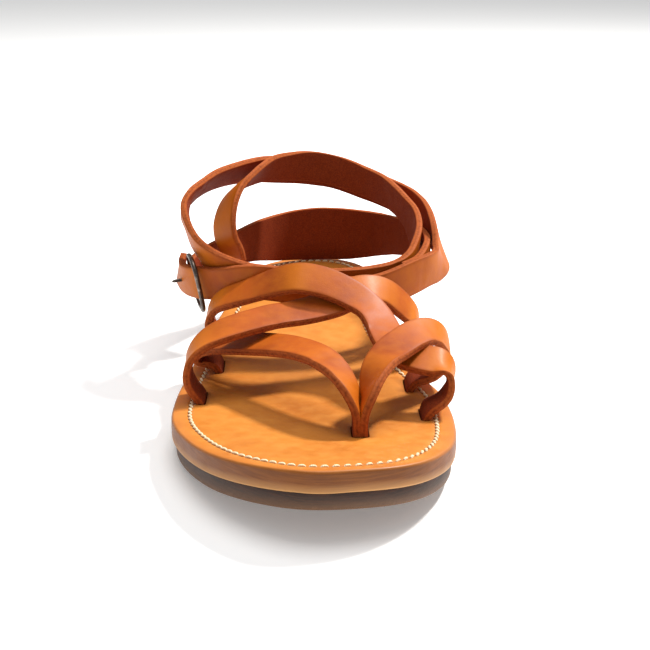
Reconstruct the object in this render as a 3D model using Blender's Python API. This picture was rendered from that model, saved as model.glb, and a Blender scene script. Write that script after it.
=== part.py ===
"""Flat strappy sandal for the right foot, at real size, in metres with +Z up.

The toe points to -Y, the medial side is +X and the floor is z = 0. The origin lies under the heel.
Positions in the tables are shares of the named sizes: across of half the ball width, along of the
length counted from the back of the heel, rise of the instep height above the insole and height of
the ankle height above the floor. Face directions are in degrees: turn is 0 towards the toe, 90
medial and -90 lateral, lift is the angle above the level.
"""

from collections import namedtuple
from math import ceil, cos, pi, radians, sin

import bmesh
import bpy
from mathutils import Matrix, Vector

MM = 0.001

# Shoe
LENGTH = 248 * MM  # of the flat top of the insole
BALL_WIDTH = 93 * MM  # of the same
HEEL_SEAT = 30 * MM  # from the back of the heel to the middle of its flat spot
INSTEP_HEIGHT = 36 * MM  # top of the instep straps above the insole
ANKLE_HEIGHT = 70 * MM  # top of the ankle loops above the floor

# Sole
INSOLE_THICKNESS = 6.9 * MM
OUTSOLE_THICKNESS = 5.3 * MM
LAYER_GAP = 0.3 * MM
TOE_SPRING = 10 * MM
HEEL_LIFT = 6 * MM
ARCH_LIFT = 2.6 * MM
OUTSOLE_INSET = 1.3 * MM  # from the wall of the insole
INSOLE_EDGE_ROUND = 1.6 * MM
OUTSOLE_EDGE_ROUND = 0.7 * MM

# Straps
STRAP_WIDTH = 12.4 * MM
STRAP_THICKNESS = 2.6 * MM
STRAP_EDGE_ROUND = 0.6 * MM
STRAP_SINK = 5.2 * MM  # how deep a strap end goes into its slot
SLOT_CLEARANCE = 0.5 * MM
ANKLE_STRAP_WIDTH = 13 * MM
BAND_WIDTH = 24 * MM

# Buckle
BUCKLE_HEIGHT = 22.5 * MM  # across the strap, over the wire
BUCKLE_WIRE = 1.8 * MM
BUCKLE_CORNER = 7 * MM
BUCKLE_FRONT = 26 * MM  # from the end of the strap to the front rim
BUCKLE_BAR = 9 * MM  # from the end of the strap to the back bar
BUCKLE_ROOM = 0.8 * MM  # extra room between the wire and the strap, which is bent there
BUCKLE_RIM_ROOM = 0.6 * MM  # extra room under the front rim alone
BUCKLE_DROP = 0.6 * MM  # how far the buckle hangs below the middle of the strap
PRONG_WIRE = 1.3 * MM
PRONG_REACH = 8.5 * MM
FIT_GAP = 0.3 * MM

OUTLINE_STEPS = 44
STRAP_STEP = 6.0 * MM
STRAP_BEND = radians(16)  # most that a strap turns from one station to the next

Edge = namedtuple("Edge", "across along")
Fold = namedtuple("Fold", "across along rise turn lift")
Turn = namedtuple("Turn", "across along height turn lift")
Slot = namedtuple("Slot", "across along turn")

TOE_TIP = Edge(0.062, 1.0)
HEEL_TIP = Edge(0.026, 0.0)
MEDIAL_EDGE = (
    Edge(0.545, 0.974),
    Edge(0.832, 0.907),
    Edge(0.966, 0.808),
    Edge(0.958, 0.665),
    Edge(0.742, 0.530),
    Edge(0.555, 0.360),
    Edge(0.641, 0.173),
    Edge(0.434, 0.040),
)
LATERAL_EDGE = (
    Edge(-0.290, 0.970),
    Edge(-0.635, 0.895),
    Edge(-0.892, 0.781),
    Edge(-0.944, 0.679),
    Edge(-0.882, 0.534),
    Edge(-0.760, 0.353),
    Edge(-0.600, 0.174),
    Edge(-0.411, 0.045),
)

# Each strip of the weave: the slot it starts from, its folds and the slot it ends in
WEAVE = {
    "lateral_toe_strip": (
        Slot(0.322, 0.811, 90),
        (
            Fold(0.320, 0.810, 0.168, 90, 4),
            Fold(0.288, 0.801, 0.307, 80, 18),
            Fold(0.245, 0.786, 0.408, 70, 38),
            Fold(0.172, 0.758, 0.490, 68, 64),
            Fold(0.077, 0.728, 0.542, 40, 77),
            Fold(-0.054, 0.696, 0.544, 0, 80),
            Fold(-0.204, 0.665, 0.514, -40, 78),
            Fold(-0.366, 0.637, 0.467, -60, 75),
            Fold(-0.538, 0.609, 0.414, -65, 72),
            Fold(-0.710, 0.581, 0.361, -75, 58),
            Fold(-0.839, 0.558, 0.274, -88, 25),
            Fold(-0.865, 0.548, 0.160, -92, -12),
            Fold(-0.815, 0.546, 0.113, -92, -48),
            Fold(-0.737, 0.544, 0.083, -92, -40),
        ),
        Slot(-0.699, 0.544, -90),
    ),
    "medial_toe_strip": (
        Slot(0.370, 0.811, -90),
        (
            Fold(0.372, 0.810, 0.167, -90, 4),
            Fold(0.413, 0.800, 0.316, -84, 20),
            Fold(0.452, 0.776, 0.439, -80, 45),
            Fold(0.499, 0.750, 0.527, -60, 66),
            Fold(0.589, 0.718, 0.583, -10, 72),
            Fold(0.699, 0.688, 0.618, 10, 72),
            Fold(0.817, 0.661, 0.631, 35, 68),
            Fold(0.931, 0.641, 0.578, 65, 48),
            Fold(1.009, 0.629, 0.458, 84, 15),
            Fold(1.017, 0.623, 0.306, 90, -8),
            Fold(0.958, 0.621, 0.170, 92, -38),
            Fold(0.873, 0.621, 0.112, 92, -56),
            Fold(0.786, 0.621, 0.083, 92, -42),
        ),
        Slot(0.748, 0.621, 90),
    ),
    "lateral_cross_strip": (
        Slot(-0.785, 0.669, -90),
        (
            Fold(-0.839, 0.669, 0.097, -90, -18),
            Fold(-0.882, 0.669, 0.222, -90, -2),
            Fold(-0.869, 0.665, 0.364, -88, 20),
            Fold(-0.796, 0.655, 0.492, -75, 48),
            Fold(-0.667, 0.641, 0.581, -45, 66),
            Fold(-0.495, 0.625, 0.633, -15, 72),
            Fold(-0.280, 0.603, 0.663, 0, 72),
            Fold(-0.065, 0.583, 0.667, 8, 70),
            Fold(0.172, 0.565, 0.708, 12, 66),
            Fold(0.387, 0.546, 0.806, 20, 59),
            Fold(0.581, 0.530, 0.757, 32, 54),
            Fold(0.731, 0.520, 0.585, 50, 45),
            Fold(0.826, 0.514, 0.439, 78, 18),
            Fold(0.830, 0.512, 0.286, 92, -10),
            Fold(0.758, 0.512, 0.152, 95, -40),
            Fold(0.674, 0.512, 0.106, 95, -56),
            Fold(0.597, 0.512, 0.083, 95, -42),
        ),
        Slot(0.559, 0.512, 90),
    ),
    "medial_cross_strip": (
        Slot(0.817, 0.738, 90),
        (
            Fold(0.851, 0.738, 0.083, 92, -36),
            Fold(0.915, 0.735, 0.122, 92, -42),
            Fold(0.974, 0.729, 0.197, 92, -18),
            Fold(1.002, 0.720, 0.338, 85, 12),
            Fold(0.942, 0.713, 0.440, 50, 45),
            Fold(0.828, 0.708, 0.466, 15, 62),
            Fold(0.714, 0.697, 0.483, 5, 64),
            Fold(0.630, 0.673, 0.513, 10, 64),
            Fold(0.576, 0.645, 0.553, 25, 62),
            Fold(0.542, 0.615, 0.608, 35, 60),
            Fold(0.477, 0.589, 0.695, 35, 58),
            Fold(0.370, 0.571, 0.776, 22, 56),
            Fold(0.237, 0.560, 0.852, 12, 54),
            Fold(0.086, 0.554, 0.917, 2, 52),
            Fold(-0.086, 0.548, 0.938, -10, 52),
            Fold(-0.238, 0.536, 0.879, -30, 52),
            Fold(-0.393, 0.522, 0.782, -40, 56),
            Fold(-0.556, 0.508, 0.679, -50, 60),
            Fold(-0.712, 0.488, 0.560, -68, 52),
            Fold(-0.792, 0.472, 0.394, -84, 22),
            Fold(-0.800, 0.458, 0.236, -90, -5),
            Fold(-0.768, 0.453, 0.142, -92, -34),
            Fold(-0.723, 0.452, 0.083, -92, -38),
        ),
        Slot(-0.688, 0.452, -90),
    ),
}

# The long strap: up behind the ankle, round the front, round the back again and into the buckle
ANKLE_WINDING = (
    Turn(-0.675, 0.254, 0.507, -42, -8),
    Turn(-0.688, 0.258, 0.562, -43, -6),
    Turn(-0.728, 0.261, 0.620, -47, 4),
    Turn(-0.745, 0.258, 0.704, -54, 18),
    Turn(-0.728, 0.246, 0.783, -64, 30),
    Turn(-0.693, 0.230, 0.842, -77, 40),
    Turn(-0.644, 0.212, 0.883, -91, 46),
    Turn(-0.582, 0.192, 0.910, -103, 48),
    Turn(-0.500, 0.165, 0.932, -114, 43),
    Turn(-0.372, 0.127, 0.948, -126, 33),
    Turn(-0.200, 0.093, 0.941, -143, 22),
    Turn(0.005, 0.072, 0.927, -165, 4),
    Turn(0.244, 0.069, 0.896, 169, -3),
    Turn(0.509, 0.091, 0.845, 142, 5),
    Turn(0.675, 0.129, 0.818, 121, 5),
    Turn(0.781, 0.176, 0.790, 112, 8),
    Turn(0.856, 0.216, 0.755, 104, 5),
    Turn(0.907, 0.263, 0.716, 96, -7),
    Turn(0.916, 0.312, 0.670, 89, -10),
    Turn(0.881, 0.362, 0.627, 80, -6),
    Turn(0.808, 0.405, 0.583, 63, -7),
    Turn(0.658, 0.435, 0.556, 37, -11),
    Turn(0.405, 0.461, 0.550, 20, -11),
    Turn(0.118, 0.474, 0.552, 9, -10),
    Turn(-0.073, 0.475, 0.556, -3, -10),
    Turn(-0.311, 0.469, 0.567, -12, -11),
    Turn(-0.502, 0.457, 0.576, -22, -13),
    Turn(-0.703, 0.441, 0.614, -32, -17),
    Turn(-0.860, 0.424, 0.685, -54, -27),
    Turn(-0.966, 0.391, 0.753, -71, -19),
    Turn(-1.027, 0.354, 0.823, -83, -9),
    Turn(-1.035, 0.318, 0.874, -92, 18),
    Turn(-0.992, 0.282, 0.906, -100, 35),
    Turn(-0.881, 0.230, 0.937, -111, 41),
    Turn(-0.729, 0.180, 0.946, -122, 42),
    Turn(-0.525, 0.126, 0.940, -133, 35),
    Turn(-0.308, 0.086, 0.917, -146, 24),
    Turn(-0.065, 0.061, 0.899, -163, 9),
    Turn(0.246, 0.052, 0.864, 174, -2),
    Turn(0.516, 0.073, 0.814, 149, -3),
    Turn(0.702, 0.101, 0.785, 132, -5),
    Turn(0.894, 0.140, 0.748, 122, -7),
    Turn(0.986, 0.187, 0.722, 111, -9),
    Turn(1.032, 0.235, 0.700, 103, -6),
    Turn(1.063, 0.284, 0.681, 98, 3),
    Turn(1.096, 0.326, 0.648, 92, 16),
    Turn(1.108, 0.360, 0.609, 79, 23),
    Turn(1.063, 0.390, 0.587, 67, 5),
    Turn(0.976, 0.418, 0.584, 51, -4),
    Turn(0.842, 0.444, 0.569, 41, 1),
    Turn(0.701, 0.463, 0.545, 33, 0),
    Turn(0.541, 0.478, 0.523, 23, -2),
    Turn(0.339, 0.490, 0.522, 10, -2),
    Turn(0.086, 0.494, 0.545, 1, 0),
    Turn(-0.211, 0.490, 0.574, -7, 1),
    Turn(-0.453, 0.478, 0.578, -16, -4),
    Turn(-0.620, 0.461, 0.555, -26, -13),
    Turn(-0.769, 0.443, 0.534, -33, -15),
    Turn(-0.898, 0.430, 0.527, -48, -13),
    Turn(-1.001, 0.404, 0.515, -63, -13),
    Turn(-1.058, 0.376, 0.517, -76, -3),
    Turn(-1.081, 0.348, 0.530, -85, 10),
)

Band = namedtuple("Band", "across along height turn lift width")
HEEL_BAND = (
    Band(0.763, 0.437, 0.559, 55, -4, 0.50),
    Band(0.888, 0.412, 0.574, 62, -4, 0.50),
    Band(0.967, 0.371, 0.599, 80, -2, 0.51),
    Band(0.998, 0.323, 0.604, 88, -2, 0.53),
    Band(0.970, 0.258, 0.590, 97, -4, 0.56),
    Band(0.891, 0.195, 0.565, 106, -5, 0.61),
    Band(0.767, 0.127, 0.528, 122, -2, 0.71),
    Band(0.594, 0.061, 0.481, 142, 0, 0.85),
    Band(0.375, 0.023, 0.449, 163, 0, 0.97),
    Band(0.129, 0.010, 0.441, 178, 0, 1.00),
    Band(-0.108, 0.018, 0.440, -166, 0, 0.97),
    Band(-0.323, 0.047, 0.446, -145, 0, 0.88),
    Band(-0.486, 0.093, 0.466, -125, -2, 0.75),
    Band(-0.620, 0.149, 0.484, -114, -3, 0.63),
    Band(-0.774, 0.206, 0.490, -112, -4, 0.55),
    Band(-0.904, 0.258, 0.488, -108, -4, 0.52),
    Band(-0.973, 0.308, 0.486, -103, -4, 0.52),
    Band(-0.993, 0.349, 0.490, -97, -4, 0.52),
)


def clear_scene():
    for thing in list(bpy.data.objects):
        bpy.data.objects.remove(thing, do_unlink=True)


def ease(share):
    share = min(max(share, 0.0), 1.0)
    return share * share * (3 - 2 * share)


def place(across, along):
    """World x and y of a place on the shoe's plan."""
    return across * BALL_WIDTH / 2, HEEL_SEAT - along * LENGTH


def along_of(y):
    return (HEEL_SEAT - y) / LENGTH


def toe_rise(along):
    share = min(max((along - 0.66) / 0.34, 0.0), 1.0)
    return TOE_SPRING * share * share


def sole_rise(along):
    """How far the layers lie above their level at the ball: up to the toe and up to the heel."""
    return toe_rise(along) + HEEL_LIFT * ease((0.62 - along) / 0.5)


def outsole_top(along):
    return OUTSOLE_THICKNESS + sole_rise(along)


def outsole_bottom(along):
    """Flat under the heel and the ball, lifted under the arch and the toe."""
    arch = ease((along - 0.24) / 0.1) * ease((0.56 - along) / 0.12)
    return toe_rise(along) + ARCH_LIFT * arch


def insole_bottom(along):
    return outsole_top(along) + LAYER_GAP


def insole_top(along):
    return insole_bottom(along) + INSOLE_THICKNESS


def blend(a, b, c, d, t):
    """The value at share t between b and c, on a smooth run through all four."""
    return 0.5 * (2 * b + (c - a) * t + (2 * a - 5 * b + 4 * c - d) * t**2 + (3 * b - 3 * c + d - a) * t**3)


def curve_through(points, step):
    """Points about one step apart on a smooth curve through the given points."""
    ends = [2 * points[0] - points[1], *points, 2 * points[-1] - points[-2]]
    result = []
    for a, b, c, d in zip(ends, ends[1:], ends[2:], ends[3:]):
        pieces = max(1, round((c - b).length / step))
        result.extend(blend(a, b, c, d, i / pieces) for i in range(pieces))
    result.append(points[-1].copy())
    return result


def resampled(points, count):
    """The given number of points, evenly spread along a line of points."""
    lengths = [0.0]
    for a, b in zip(points, points[1:]):
        lengths.append(lengths[-1] + (b - a).length)
    result = []
    place_in = 0
    for i in range(count):
        wanted = lengths[-1] * i / (count - 1)
        while place_in < len(points) - 2 and lengths[place_in + 1] < wanted:
            place_in += 1
        span = lengths[place_in + 1] - lengths[place_in]
        result.append(points[place_in].lerp(points[place_in + 1], (wanted - lengths[place_in]) / span))
    return result


def sole_outline():
    """The closed outline of the insole's top: down the medial side to the heel, and up the lateral side again."""
    sides = []
    for rows, other in ((MEDIAL_EDGE, LATERAL_EDGE), (LATERAL_EDGE, MEDIAL_EDGE)):
        closed = (other[0], TOE_TIP, *rows, HEEL_TIP, other[-1])
        points = [Vector(place(row.across, row.along)) for row in closed]
        fine = curve_through(points, LENGTH / 400)
        first = min(range(len(fine)), key=lambda i: (fine[i] - points[1]).length)
        last = min(range(len(fine)), key=lambda i: (fine[i] - points[-2]).length)
        sides.append(resampled(fine[first : last + 1], OUTLINE_STEPS + 1))
    medial, lateral = sides
    return medial + lateral[-2:0:-1]


def inset_loop(loop, distance):
    """The closed loop, moved inwards by a distance."""
    result = []
    for i, point in enumerate(loop):
        ahead = loop[(i + 1) % len(loop)] - loop[i - 1]
        inward = Vector((-ahead.y, ahead.x)).normalized()
        result.append(point + inward * distance)
    return result


def mesh_object(name, vertices, faces):
    mesh = bpy.data.meshes.new(name)
    mesh.from_pydata([tuple(v) for v in vertices], [], faces)
    shaped = bmesh.new()
    shaped.from_mesh(mesh)
    bmesh.ops.recalc_face_normals(shaped, faces=shaped.faces)
    shaped.to_mesh(mesh)
    shaped.free()
    mesh.update()
    thing = bpy.data.objects.new(name, mesh)
    bpy.context.scene.collection.objects.link(thing)
    return thing


def sole_layer(name, levels):
    """One layer of the sole. A level is its inset from the wall and the function that gives its height."""
    outline = inset_loop(sole_outline(), -INSOLE_EDGE_ROUND)
    count = len(outline)
    vertices = []
    for inset, height in levels:
        for point in inset_loop(outline, inset):
            vertices.append((point.x, point.y, height(along_of(point.y))))
    faces = []
    for level in range(len(levels) - 1):
        for i in range(count):
            j = (i + 1) % count
            faces.append((level * count + i, level * count + j, (level + 1) * count + j, (level + 1) * count + i))
    for base in (0, (len(levels) - 1) * count):
        for i in range(OUTLINE_STEPS):
            corners = [i, i + 1, (count - i - 1) % count, (count - i) % count]
            corners = list(dict.fromkeys(corners))
            faces.append([base + corner for corner in corners])
    return mesh_object(name, vertices, faces)


def make_outsole():
    edge = OUTSOLE_EDGE_ROUND
    return sole_layer(
        "outsole",
        (
            (OUTSOLE_INSET + edge, outsole_bottom),
            (OUTSOLE_INSET, lambda along: outsole_bottom(along) + edge),
            (OUTSOLE_INSET, outsole_top),
        ),
    )


def make_insole():
    edge = INSOLE_EDGE_ROUND
    foot = edge / 3
    insole = sole_layer(
        "insole",
        (
            (foot, insole_bottom),
            (0, lambda along: insole_bottom(along) + foot),
            (0, lambda along: insole_top(along) - edge),
            (edge * 0.3, lambda along: insole_top(along) - edge * 0.3),
            (edge, insole_top),
        ),
    )
    for number, slot in enumerate(strap_slots(), 1):
        cut_slot(insole, slot, number)
    return insole


def strap_slots():
    """Every slot of the insole. The two toe strips share one, which is as wide as both."""
    slots = []
    for start, _, end in WEAVE.values():
        slots.extend((start, end))
    return slots


def cut_slot(insole, slot, number):
    x, y = place(slot.across, slot.along)
    width = STRAP_THICKNESS + 2 * SLOT_CLEARANCE
    length = STRAP_WIDTH + 2 * SLOT_CLEARANCE
    height = 4 * INSOLE_THICKNESS
    middle = insole_top(slot.along)
    bpy.ops.mesh.primitive_cube_add(size=1, location=(x, y, middle))
    cutter = bpy.context.active_object
    cutter.name = f"slot_cutter_{number}"
    cutter.data.transform(Matrix.Diagonal((width, length, height, 1)))
    cutter.hide_render = True
    cutter.display_type = "WIRE"
    join(insole, cutter, "DIFFERENCE")


def join(thing, other, operation):
    step = thing.modifiers.new(other.name, "BOOLEAN")
    step.operation = operation
    step.object = other
    step.solver = "EXACT"


def face_direction(turn, lift):
    return Vector((cos(radians(lift)) * sin(radians(turn)), -cos(radians(lift)) * cos(radians(turn)), sin(radians(lift))))


Station = namedtuple("Station", "centre face width")


def strap_run(stations):
    """Stations close enough for a smooth strap: by length, and closer where the strap bends."""
    first = mirrored(stations[1], stations[0])
    last = mirrored(stations[-2], stations[-1])
    ends = [first, *stations, last]
    result = []
    for a, b, c, d in zip(ends, ends[1:], ends[2:], ends[3:]):
        turned = b.face.angle(c.face)
        bent = (c.centre - a.centre).angle(d.centre - b.centre)
        pieces = max(1, ceil((c.centre - b.centre).length / STRAP_STEP), ceil(max(turned, bent) / STRAP_BEND))
        for i in range(pieces):
            result.append(Station(*(blend(*four, i / pieces) for four in zip(a, b, c, d))))
    result.append(stations[-1])
    return result


def mirrored(inner, end):
    return Station(*(2 * e - i for i, e in zip(inner, end)))


def strap_mesh(name, stations):
    """A strap with rounded edges, swept through its stations."""
    run = strap_run(stations)
    edge = STRAP_EDGE_ROUND
    deep = STRAP_THICKNESS / 2
    vertices = []
    for i, station in enumerate(run):
        ahead = (run[min(i + 1, len(run) - 1)].centre - run[max(i - 1, 0)].centre).normalized()
        face = (station.face - ahead * station.face.dot(ahead)).normalized()
        side = face.cross(ahead)
        half = station.width / 2
        section = (
            (-half + edge, -deep),
            (half - edge, -deep),
            (half, -deep + edge),
            (half, deep - edge),
            (half - edge, deep),
            (-half + edge, deep),
            (-half, deep - edge),
            (-half, -deep + edge),
        )
        vertices.extend(station.centre + side * across + face * up for across, up in section)
    ring = len(section)
    quads = []
    for i in range(len(run) - 1):
        for k in range(ring):
            m = (k + 1) % ring
            quads.append((i * ring + k, i * ring + m, (i + 1) * ring + m, (i + 1) * ring + k))
    quads.append(tuple(range(ring)))
    quads.append(tuple((len(run) - 1) * ring + k for k in range(ring)))
    return mesh_object(name, vertices, quads)


def slot_stations(slot):
    """The straight end of a strip in its slot, from the deep end up."""
    x, y = place(slot.across, slot.along)
    top = insole_top(slot.along)
    face = face_direction(slot.turn, 0)
    heights = (top - STRAP_SINK, top - STRAP_SINK / 2, top + FIT_GAP)
    return [Station(Vector((x, y, z)), face, STRAP_WIDTH) for z in heights]


def fold_station(fold):
    x, y = place(fold.across, fold.along)
    z = insole_top(fold.along) + fold.rise * INSTEP_HEIGHT
    return Station(Vector((x, y, z)), face_direction(fold.turn, fold.lift), STRAP_WIDTH)


def turn_station(turn, width):
    x, y = place(turn.across, turn.along)
    return Station(Vector((x, y, turn.height * ANKLE_HEIGHT)), face_direction(turn.turn, turn.lift), width)


def make_instep_straps():
    """The upper: four strips in one solid, joined where they cross."""
    strips = []
    for name, (start, folds, end) in WEAVE.items():
        stations = slot_stations(start) + [fold_station(fold) for fold in folds] + slot_stations(end)[::-1]
        strips.append(strap_mesh(name, stations))
    upper = strips[0]
    upper.name = "instep_straps"
    for strip in strips[1:]:
        strip.hide_render = True
        strip.display_type = "WIRE"
        join(upper, strip, "UNION")
    return upper


def ankle_stations():
    return [turn_station(turn, ANKLE_STRAP_WIDTH) for turn in ANKLE_WINDING]


def make_ankle_strap():
    """The long strap, with the hole that the prong goes through."""
    strap = strap_mesh("ankle_strap", ankle_stations())
    bar = station_from_end(BUCKLE_BAR)
    start = prong_path()[-2]
    hole = wire_mesh("prong_hole_cutter", (start, start + bar.face * PRONG_REACH * 2), PRONG_WIRE / 2 + FIT_GAP)
    hole.hide_render = True
    hole.display_type = "WIRE"
    join(strap, hole, "DIFFERENCE")
    return strap


def station_from_end(distance):
    """The station of the ankle strap at a distance from its end at the buckle."""
    run = strap_run(ankle_stations())[::-1]
    for a, b in zip(run, run[1:]):
        length = (b.centre - a.centre).length
        if length >= distance:
            share = distance / length
            return Station(
                a.centre.lerp(b.centre, share),
                a.face.lerp(b.face, share).normalized(),
                a.width,
            )
        distance -= length
    return run[-1]


def buckle_axes():
    """The middle of the buckle, the way to its front rim and the way up."""
    offset = STRAP_THICKNESS / 2 + FIT_GAP + BUCKLE_ROOM + BUCKLE_WIRE / 2
    front = station_from_end(BUCKLE_FRONT)
    bar = station_from_end(BUCKLE_BAR)
    rim = front.centre + front.face * (offset + BUCKLE_RIM_ROOM)
    back = bar.centre - bar.face * offset
    forward = rim - back
    upward = (front.face + bar.face).cross(forward).normalized()
    if upward.z < 0:
        upward.negate()
    return (rim + back) / 2 - upward * BUCKLE_DROP, forward, upward


def make_buckle_frame():
    middle, forward, upward = buckle_axes()
    half_length = forward.length / 2
    half_height = (BUCKLE_HEIGHT - BUCKLE_WIRE) / 2
    ahead = forward.normalized()
    points = []
    for right, top, start in ((1, 1, 0), (-1, 1, 90), (-1, -1, 180), (1, -1, 270)):
        for step in range(5):
            angle = radians(start + 22.5 * step)
            x = right * (half_length - BUCKLE_CORNER) + BUCKLE_CORNER * cos(angle)
            y = top * (half_height - BUCKLE_CORNER) + BUCKLE_CORNER * sin(angle)
            points.append(middle + ahead * x + upward * y)
    return wire_mesh("buckle_frame", points, BUCKLE_WIRE / 2, closed=True)


def prong_path():
    """A hook round the back bar, then straight out through the strap."""
    middle, forward, upward = buckle_axes()
    centre = middle - forward / 2
    outward = station_from_end(BUCKLE_BAR).face
    ahead = upward.cross(outward).normalized()
    if ahead.dot(forward) < 0:
        ahead.negate()
    radius = BUCKLE_WIRE / 2 + FIT_GAP + PRONG_WIRE / 2
    hook = [centre - (ahead * cos(a) + outward * sin(a)) * radius for a in (radians(d) for d in range(0, 181, 30))]
    return [*hook, hook[-1] + outward * PRONG_REACH]


def make_buckle_prong():
    return wire_mesh("buckle_prong", prong_path(), PRONG_WIRE / 2)


def wire_mesh(name, points, radius, closed=False):
    """A round wire along a line of points."""
    count = len(points)
    sides = 8
    vertices = []
    up = None
    for i, point in enumerate(points):
        if closed:
            ahead = points[(i + 1) % count] - points[i - 1]
        else:
            ahead = points[min(i + 1, count - 1)] - points[max(i - 1, 0)]
        ahead = ahead.normalized()
        up = ahead.orthogonal() if up is None else up
        up = (up - ahead * up.dot(ahead)).normalized()
        side = ahead.cross(up)
        vertices.extend(
            point + (up * cos(2 * pi * k / sides) + side * sin(2 * pi * k / sides)) * radius for k in range(sides)
        )
    faces = []
    for i in range(count if closed else count - 1):
        for k in range(sides):
            m = (k + 1) % sides
            n = (i + 1) % count
            faces.append((i * sides + k, i * sides + m, n * sides + m, n * sides + k))
    if not closed:
        faces.append(tuple(range(sides)))
        faces.append(tuple((count - 1) * sides + k for k in range(sides)))
    return mesh_object(name, vertices, faces)


def make_heel_band():
    return strap_mesh("heel_band", [turn_station(row, row.width * BAND_WIDTH) for row in HEEL_BAND])


def material(name, colour, roughness, metallic):
    made = bpy.data.materials.new(name)
    made.use_nodes = True
    shader = made.node_tree.nodes["Principled BSDF"]
    shader.inputs["Base Color"].default_value = (*colour, 1)
    shader.inputs["Roughness"].default_value = roughness
    shader.inputs["Metallic"].default_value = metallic
    made.diffuse_color = (*colour, 1)
    return made


def main():
    clear_scene()
    tan = material("tan_leather", (0.62, 0.32, 0.12), 0.45, 0)
    orange = material("orange_leather", (0.48, 0.17, 0.04), 0.4, 0)
    brown = material("brown_sole", (0.2, 0.1, 0.05), 0.6, 0)
    steel = material("dark_steel", (0.09, 0.08, 0.08), 0.35, 1)
    for thing, finish in (
        (make_outsole(), brown),
        (make_insole(), tan),
        (make_instep_straps(), orange),
        (make_ankle_strap(), orange),
        (make_heel_band(), orange),
        (make_buckle_frame(), steel),
        (make_buckle_prong(), steel),
    ):
        thing.data.materials.append(finish)


main()
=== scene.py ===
"""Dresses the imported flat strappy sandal, right shoe: leather, stitches, buckle and light.

The tables repeat the part's own places: across in shares of half the ball width, along in shares
of the length from the back of the heel, rise in shares of the instep height above the insole, and
height in shares of the ankle height above the floor. Face directions are in degrees: turn is 0
towards the toe, 90 medial and -90 lateral, lift is the angle above the level.
"""

import logging
from dataclasses import dataclass, field
from enum import Enum
from math import ceil, cos, exp, pi, radians, sin, sqrt
from typing import NamedTuple, Sequence

import bmesh
import bpy
import numpy as np
from mathutils import Matrix, Vector, noise


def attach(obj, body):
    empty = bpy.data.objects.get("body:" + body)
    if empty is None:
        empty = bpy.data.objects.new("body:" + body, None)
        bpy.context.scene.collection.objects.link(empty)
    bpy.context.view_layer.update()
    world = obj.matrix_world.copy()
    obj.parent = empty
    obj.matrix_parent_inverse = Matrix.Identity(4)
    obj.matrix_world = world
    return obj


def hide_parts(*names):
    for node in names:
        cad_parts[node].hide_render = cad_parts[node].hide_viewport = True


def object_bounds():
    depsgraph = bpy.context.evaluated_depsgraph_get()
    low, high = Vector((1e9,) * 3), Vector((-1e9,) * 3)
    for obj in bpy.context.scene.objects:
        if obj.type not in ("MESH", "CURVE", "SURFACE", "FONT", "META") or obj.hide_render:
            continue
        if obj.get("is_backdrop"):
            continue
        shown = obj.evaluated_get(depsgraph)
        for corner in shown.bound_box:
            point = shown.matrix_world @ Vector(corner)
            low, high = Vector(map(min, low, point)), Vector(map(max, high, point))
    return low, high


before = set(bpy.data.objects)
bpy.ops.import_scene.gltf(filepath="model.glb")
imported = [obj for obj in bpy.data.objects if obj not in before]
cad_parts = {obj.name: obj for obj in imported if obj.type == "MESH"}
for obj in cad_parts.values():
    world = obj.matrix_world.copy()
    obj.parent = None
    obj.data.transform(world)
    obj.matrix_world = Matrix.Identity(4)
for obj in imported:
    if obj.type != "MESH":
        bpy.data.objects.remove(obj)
packed_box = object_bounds()
log = logging.getLogger("sandal")

MM = 0.001
BODY = "root"

LENGTH = 248 * MM
BALL_WIDTH = 93 * MM
HEEL_SEAT = 30 * MM
INSTEP_HEIGHT = 36 * MM
ANKLE_HEIGHT = 70 * MM

INSOLE_THICKNESS = 6.9 * MM
OUTSOLE_THICKNESS = 5.3 * MM
LAYER_GAP = 0.3 * MM
TOE_SPRING = 10 * MM
HEEL_LIFT = 6 * MM
ARCH_LIFT = 2.6 * MM
# Shares of the length: where each rise of the sole starts or ends, and how far it takes
TOE_START, TOE_RUN = 0.66, 0.34
HEEL_END, HEEL_RUN = 0.62, 0.5
ARCH_START, ARCH_IN = 0.24, 0.1
ARCH_END, ARCH_OUT = 0.56, 0.12
OUTSOLE_INSET = 1.3 * MM
INSOLE_EDGE_ROUND = 1.6 * MM
STITCH_INSET = 6 * MM
GROOVE_REACH = 1.3 * MM
# Across the seam: the distance from its middle in millimetres, and the share of the groove's depth
GROOVE_PROFILE = (
    (-1.5, 0.0),
    (-0.9, 0.0),
    (-0.5, 0.55),
    (0.0, 1.0),
    (0.5, 0.55),
    (0.9, 0.0),
    (2.5, 0.0),
)

STRAP_WIDTH = 12.4 * MM
STRAP_THICKNESS = 2.6 * MM
STRAP_SINK = 5.2 * MM
SLOT_CLEARANCE = 0.5 * MM
SLOT_CORNERS = 20
SLOT_DEPTH = 5.9 * MM
SLOT_OVER = 6 * MM
ANKLE_STRAP_WIDTH = 13 * MM
BAND_WIDTH = 24 * MM

BUCKLE_HEIGHT = 22.5 * MM
BUCKLE_WIRE = 1.8 * MM
BUCKLE_CORNER = 7 * MM
BUCKLE_FRONT = 26 * MM
BUCKLE_BAR = 9 * MM
BUCKLE_ROOM = 0.8 * MM
BUCKLE_RIM_ROOM = 0.6 * MM
BUCKLE_DROP = 0.6 * MM
PRONG_WIRE = 1.3 * MM
PRONG_REACH = 8.5 * MM
FIT_GAP = 0.3 * MM


class Side(Enum):
    """The two sides of a strap."""

    OUTER = 1
    INNER = -1


class Edge(NamedTuple):
    """A place on the outline of the sole."""

    across: float
    along: float


class Slot(NamedTuple):
    """A slot in the insole that a strip goes into."""

    across: float
    along: float
    turn: float


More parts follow.
